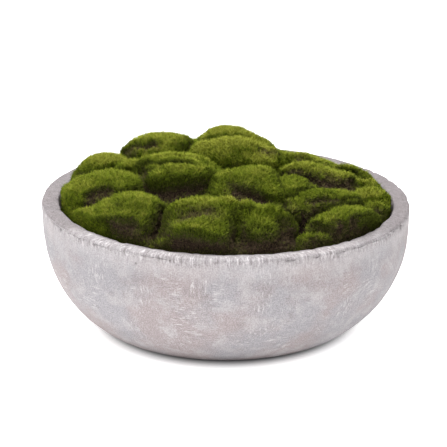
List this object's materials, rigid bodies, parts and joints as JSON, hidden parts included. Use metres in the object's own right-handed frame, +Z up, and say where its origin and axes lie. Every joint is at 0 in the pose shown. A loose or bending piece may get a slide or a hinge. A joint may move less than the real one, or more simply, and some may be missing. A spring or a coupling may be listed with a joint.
{
  "type": "moss bowl",
  "caption": "Round thick-walled cast stone bowl on a flat base, filled with peat and topped with touching cushions of green mood moss.",
  "frame": {"origin": "centre of the bowl's flat base, on the surface it stands on", "axes": "+Z up, -Y the front, +X to the right of someone who looks at the front"},
  "size_m": [0.406, 0.406, 0.1966],
  "materials": {
    "cast_stone": "chalky limewashed cast stone, mottled warm and cool grey with fine pits and crusty pale flecks",
    "peat": "dull crumbly dark brown peat",
    "moss": "velvety upright moss leaves, yellow-green at the tips, brown on the bare undersides"
  },
  "bodies": {
    "root": {"bowl": "cast_stone", "peat": "peat", "cushion_front_left": "moss", "cushion_front_middle": "moss", "cushion_front_right_of_middle": "moss", "cushion_front_right": "moss", "cushion_front_right_low": "moss", "cushion_left": "moss", "cushion_middle_left": "moss", "cushion_middle": "moss", "cushion_middle_right": "moss", "cushion_right": "moss", "cushion_right_nub": "moss", "cushion_right_edge": "moss", "cushion_right_back": "moss", "cushion_right_rim": "moss", "cushion_left_nub": "moss", "cushion_left_back": "moss", "cushion_back_left": "moss", "cushion_back_middle": "moss", "cushion_back_right": "moss", "cushion_far_left": "moss", "cushion_far_middle": "moss", "cushion_far_right": "moss", "small_tuft": "moss"}
  },
  "joints": []
}
